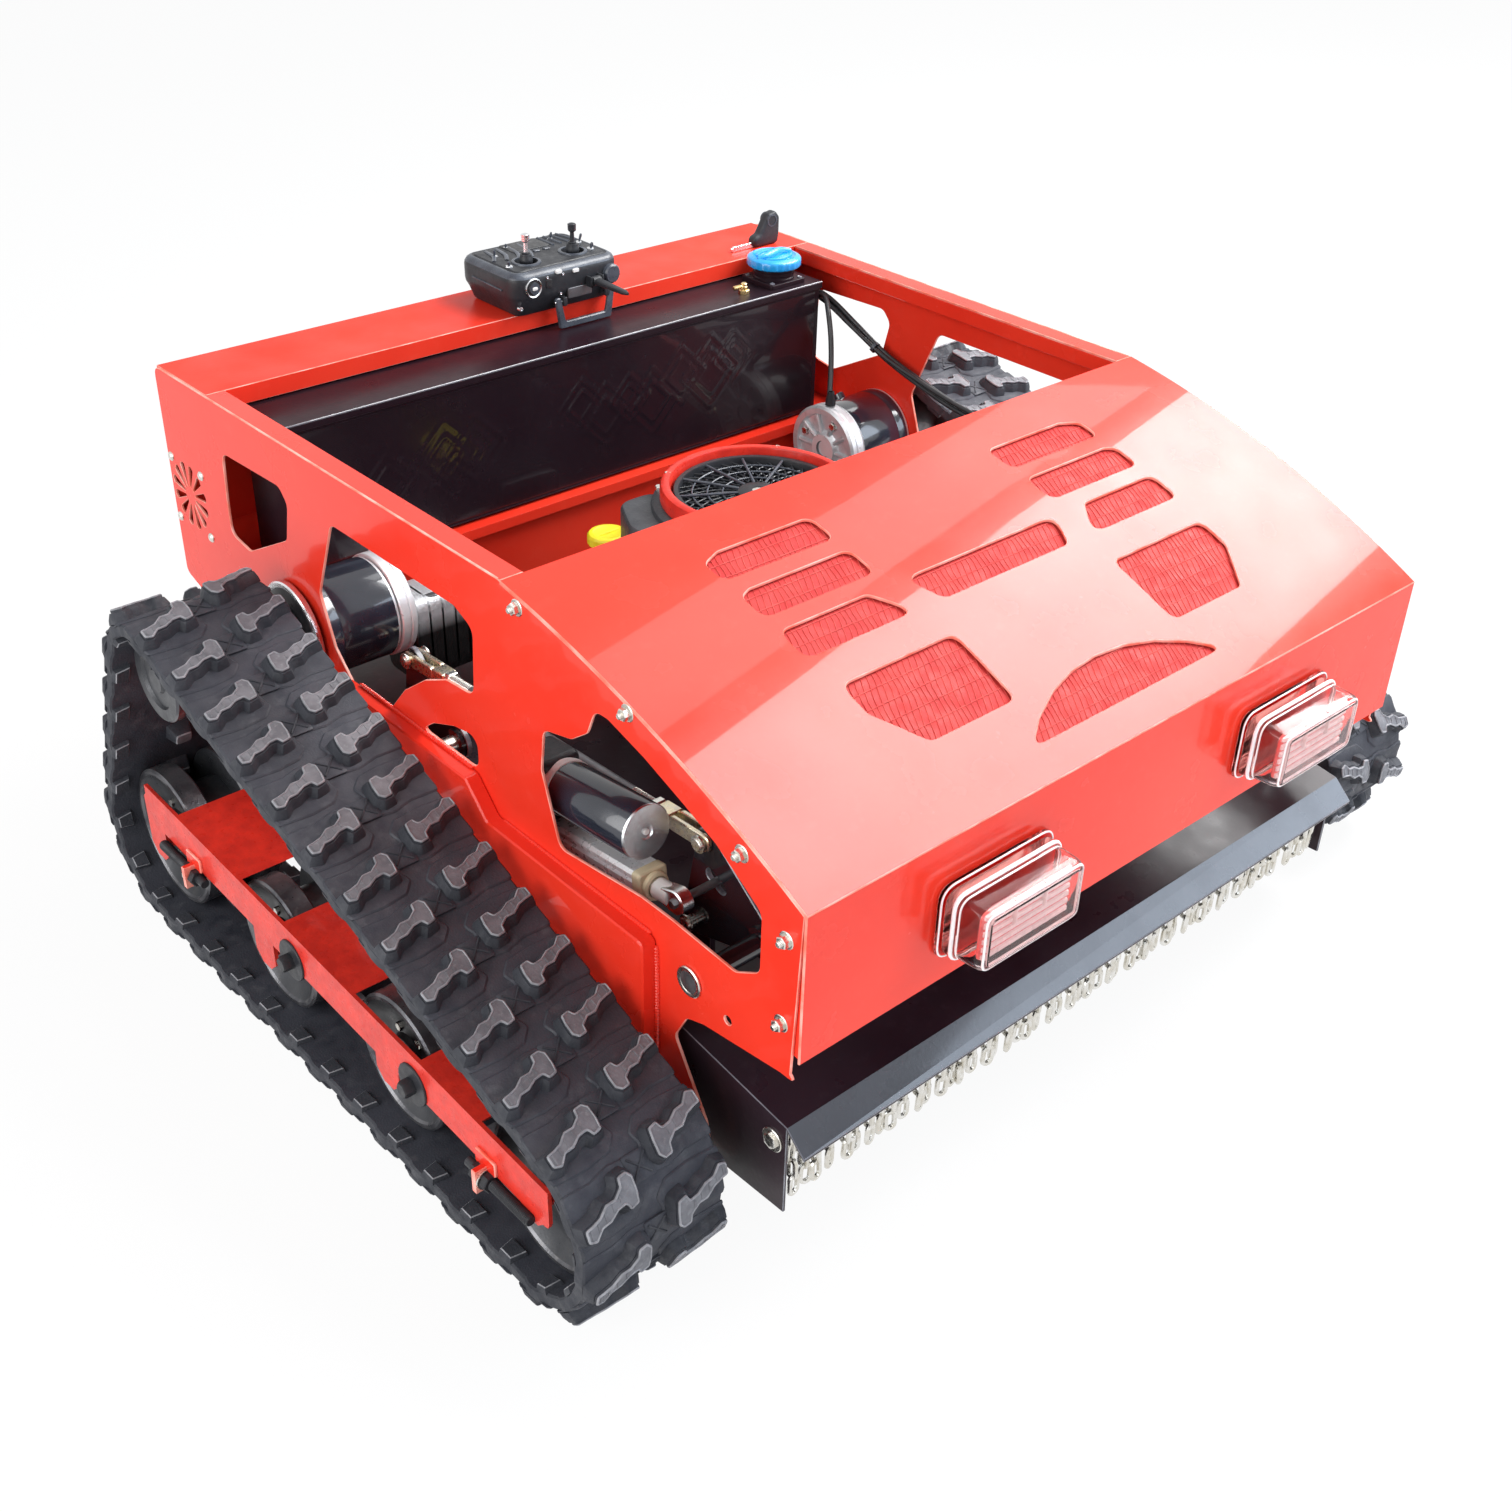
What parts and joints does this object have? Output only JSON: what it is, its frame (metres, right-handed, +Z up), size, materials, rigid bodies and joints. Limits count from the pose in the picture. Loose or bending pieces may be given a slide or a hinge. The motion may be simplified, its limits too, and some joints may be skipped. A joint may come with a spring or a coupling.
{
  "type": "remote control slope mower",
  "caption": "Remote controlled slope mower on rubber tracks, with a lifting blade deck, chain curtain, curved hood, fuel tank and hand transmitter.",
  "frame": {"origin": "on the ground, under the centre of the whole machine's box", "axes": "+Z up, the machine drives towards -Y, +X to its left as it drives"},
  "size_m": [1.212, 1.0616, 0.6223],
  "materials": {
    "red_paint": "glossy red-orange powder coat on folded sheet",
    "gloss_black": "gloss black enamel",
    "matte_black": "black, lightly grained",
    "rubber": "charcoal rubber with a blue cast",
    "brass": "dull brass",
    "zinc": "zinc plate, slightly yellow in places",
    "cast_silver": "cast or drawn aluminium",
    "dark_steel": "grey iron with worn bright rims",
    "engine_grey": "dark grey casting",
    "cap_blue": "shiny blue plastic",
    "oil_yellow": "yellow plastic",
    "lamp_rim": "white lamp base",
    "lamp_lens": "clear ribbed lens over a reflector"
  },
  "bodies": {
    "root": {"side_panel_left": "red_paint", "side_panel_right": "red_paint", "rear_panel": "red_paint", "tank_tray": "red_paint", "front_hood": "red_paint", "hood_mesh": "red_paint", "track_frame_left": "red_paint", "track_frame_right": "red_paint", "fuel_tank": "gloss_black", "drive_motor_left": "gloss_black", "drive_motor_right": "gloss_black", "battery": "matte_black", "track_belt_left": "rubber", "track_belt_right": "rubber", "harness_right": "rubber", "motor_cable_right": "rubber", "tank_fitting": "brass", "motor_end_cap_left": "cast_silver", "motor_end_cap_right": "cast_silver", "headlight_base_left": "lamp_rim", "headlight_base_right": "lamp_rim", "headlight_lens_left": "lamp_lens", "headlight_lens_right": "lamp_lens"},
    "front_lift": {"front_lift_shaft": "matte_black"},
    "deck": {"deck_pan": "gloss_black", "chain_rod": "zinc", "engine_block": "engine_grey", "blower_housing": "matte_black", "screen_ring": "red_paint", "oil_cap": "oil_yellow", "muffler": "cast_silver"},
    "cutter": {"crankshaft": "zinc", "cutting_blade": "dark_steel", "fan_screen": "matte_black"},
    "curtain": {"chain_curtain": "zinc"},
    "filler_cap": {"fuel_cap": "cap_blue"},
    "transmitter": {"remote_body": "matte_black"},
    "stick_left": {"remote_stick_left": "cast_silver"},
    "stick_right": {"remote_stick_right": "matte_black"},
    "antenna": {"remote_antenna": "matte_black"},
    "handle": {"remote_handle": "dark_steel"},
    "key": {"ignition_key": "matte_black"},
    "sprocket_right": {"drive_sprocket_right": "dark_steel"},
    "idler_front_right": {"front_idler_right": "dark_steel"},
    "idler_rear_right": {"rear_idler_right": "dark_steel"},
    "roller_front_right": {"road_wheel_front_right": "dark_steel"},
    "roller_rear_right": {"road_wheel_rear_right": "dark_steel"},
    "rear_lift_right": {"rear_crank_right": "matte_black"},
    "tie_right": {"tie_rod_right": "zinc"},
    "actuator_right": {"actuator_body_right": "engine_grey"},
    "plunger_right": {"actuator_rod_right": "cast_silver"},
    "sprocket_left": {"drive_sprocket_left": "dark_steel"},
    "idler_front_left": {"front_idler_left": "dark_steel"},
    "idler_rear_left": {"rear_idler_left": "dark_steel"},
    "roller_front_left": {"road_wheel_front_left": "dark_steel"},
    "roller_rear_left": {"road_wheel_rear_left": "dark_steel"},
    "rear_lift_left": {"rear_crank_left": "matte_black"},
    "tie_left": {"tie_rod_left": "zinc"},
    "actuator_left": {"actuator_body_left": "engine_grey"},
    "plunger_left": {"actuator_rod_left": "cast_silver"}
  },
  "joints": [
    {"name": "sprocket_right_spin", "type": "hinge", "parent": "root", "child": "sprocket_right", "pos_m": [0.531, 0.2728, 0.33], "axis": [1, 0, 0], "continuous": true},
    {"name": "idler_front_right_spin", "type": "hinge", "parent": "root", "child": "idler_front_right", "pos_m": [0.531, -0.3402, 0.106], "axis": [1, 0, 0], "continuous": true},
    {"name": "idler_rear_right_spin", "type": "hinge", "parent": "root", "child": "idler_rear_right", "pos_m": [0.531, 0.3298, 0.106], "axis": [1, 0, 0], "continuous": true},
    {"name": "roller_front_right_spin", "type": "hinge", "parent": "root", "child": "roller_front_right", "pos_m": [0.531, -0.11687, 0.098], "axis": [1, 0, 0], "continuous": true},
    {"name": "roller_rear_right_spin", "type": "hinge", "parent": "root", "child": "roller_rear_right", "pos_m": [0.531, 0.10647, 0.098], "axis": [1, 0, 0], "continuous": true},
    {"name": "sprocket_left_spin", "type": "hinge", "parent": "root", "child": "sprocket_left", "pos_m": [-0.531, 0.2728, 0.33], "axis": [1, 0, 0], "continuous": true},
    {"name": "idler_front_left_spin", "type": "hinge", "parent": "root", "child": "idler_front_left", "pos_m": [-0.531, -0.3402, 0.106], "axis": [1, 0, 0], "continuous": true},
    {"name": "idler_rear_left_spin", "type": "hinge", "parent": "root", "child": "idler_rear_left", "pos_m": [-0.531, 0.3298, 0.106], "axis": [1, 0, 0], "continuous": true},
    {"name": "roller_front_left_spin", "type": "hinge", "parent": "root", "child": "roller_front_left", "pos_m": [-0.531, -0.11687, 0.098], "axis": [1, 0, 0], "continuous": true},
    {"name": "roller_rear_left_spin", "type": "hinge", "parent": "root", "child": "roller_rear_left", "pos_m": [-0.531, 0.10647, 0.098], "axis": [1, 0, 0], "continuous": true},
    {"name": "deck_lift", "type": "hinge", "parent": "root", "child": "front_lift", "pos_m": [0, -0.3482, 0.263], "axis": [1, 0, 0], "range_deg": [-15, 18]},
    {"name": "deck_level", "type": "hinge", "parent": "front_lift", "child": "deck", "pos_m": [0, -0.2582, 0.233], "axis": [1, 0, 0], "range_deg": [-18.5, 15.5]},
    {"name": "rear_lift_right_turn", "type": "hinge", "parent": "root", "child": "rear_lift_right", "pos_m": [0.341, 0.1178, 0.237], "axis": [1, 0, 0], "range_deg": [-15.5, 18.5]},
    {"name": "tie_right_level", "type": "hinge", "parent": "front_lift", "child": "tie_right", "pos_m": [0.341, -0.2732, 0.329], "axis": [1, 0, 0], "range_deg": [-18.5, 15.5]},
    {"name": "actuator_right_tilt", "type": "hinge", "parent": "root", "child": "actuator_right", "pos_m": [0.385, -0.0912, 0.271], "axis": [1, 0, 0], "range_deg": [-6, 5]},
    {"name": "actuator_right_stroke", "type": "slide", "parent": "actuator_right", "child": "plunger_right", "axis": [0, -0.9943, 0.1065], "range_m": [-0.012, 0.0135]},
    {"name": "rear_lift_left_turn", "type": "hinge", "parent": "root", "child": "rear_lift_left", "pos_m": [-0.341, 0.1178, 0.237], "axis": [1, 0, 0], "range_deg": [-15.5, 18.5]},
    {"name": "tie_left_level", "type": "hinge", "parent": "front_lift", "child": "tie_left", "pos_m": [-0.341, -0.2732, 0.329], "axis": [1, 0, 0], "range_deg": [-18.5, 15.5]},
    {"name": "actuator_left_tilt", "type": "hinge", "parent": "root", "child": "actuator_left", "pos_m": [-0.385, -0.0912, 0.271], "axis": [1, 0, 0], "range_deg": [-6, 5]},
    {"name": "actuator_left_stroke", "type": "slide", "parent": "actuator_left", "child": "plunger_left", "axis": [0, -0.9943, 0.1065], "range_m": [-0.012, 0.0135]},
    {"name": "crankshaft_spin", "type": "hinge", "parent": "deck", "child": "cutter", "pos_m": [0, 0.0448, 0.3], "axis": [0, 0, 1], "continuous": true},
    {"name": "curtain_swing", "type": "hinge", "parent": "deck", "child": "curtain", "pos_m": [0, -0.4412, 0.142], "axis": [1, 0, 0], "range_deg": [-55, 60]},
    {"name": "fuel_cap_turn", "type": "hinge", "parent": "root", "child": "filler_cap", "pos_m": [0.33, 0.3858, 0.54], "axis": [0, 0, 1], "range_deg": [0, 150]},
    {"name": "transmitter_lift", "type": "slide", "parent": "root", "child": "transmitter", "axis": [0, 0, 1], "range_m": [0, 0.08]},
    {"name": "key_lift", "type": "slide", "parent": "root", "child": "key", "axis": [0, 0, 1], "range_m": [0, 0.06]},
    {"name": "stick_left_tilt", "type": "hinge", "parent": "transmitter", "child": "stick_left", "pos_m": [-0.005, 0.4418, 0.5923], "axis": [1, 0, 0], "range_deg": [-22, 22], "stiffness_Nm_per_rad": 0.05},
    {"name": "stick_right_tilt", "type": "hinge", "parent": "transmitter", "child": "stick_right", "pos_m": [0.061, 0.4418, 0.5923], "axis": [1, 0, 0], "range_deg": [-22, 22], "stiffness_Nm_per_rad": 0.05},
    {"name": "antenna_fold", "type": "hinge", "parent": "transmitter", "child": "antenna", "pos_m": [0.062, 0.3995, 0.566], "axis": [1, 0, 0], "range_deg": [-90, 0]},
    {"name": "handle_swing", "type": "hinge", "parent": "transmitter", "child": "handle", "pos_m": [0.05, 0.4058, 0.549], "axis": [1, 0, 0], "range_deg": [-95, 0]}
  ],
  "couplings": [
    {"joint": "idler_front_right_spin", "follows": "sprocket_right_spin", "ratio": 0.65385},
    {"joint": "idler_rear_right_spin", "follows": "sprocket_right_spin", "ratio": 0.65385},
    {"joint": "roller_front_right_spin", "follows": "sprocket_right_spin", "ratio": 0.72857},
    {"joint": "roller_rear_right_spin", "follows": "sprocket_right_spin", "ratio": 0.72857},
    {"joint": "idler_front_left_spin", "follows": "sprocket_left_spin", "ratio": 0.65385},
    {"joint": "idler_rear_left_spin", "follows": "sprocket_left_spin", "ratio": 0.65385},
    {"joint": "roller_front_left_spin", "follows": "sprocket_left_spin", "ratio": 0.72857},
    {"joint": "roller_rear_left_spin", "follows": "sprocket_left_spin", "ratio": 0.72857},
    {"joint": "deck_level", "follows": "deck_lift", "ratio": -1},
    {"joint": "rear_lift_right_turn", "follows": "deck_lift", "ratio": 1},
    {"joint": "tie_right_level", "follows": "deck_lift", "ratio": -1},
    {"joint": "actuator_right_tilt", "follows": "deck_lift", "ratio": -0.29},
    {"joint": "actuator_right_stroke", "follows": "deck_lift", "m_per_rad": 0.0401},
    {"joint": "rear_lift_left_turn", "follows": "deck_lift", "ratio": 1},
    {"joint": "tie_left_level", "follows": "deck_lift", "ratio": -1},
    {"joint": "actuator_left_tilt", "follows": "deck_lift", "ratio": -0.29},
    {"joint": "actuator_left_stroke", "follows": "deck_lift", "m_per_rad": 0.0401}
  ]
}
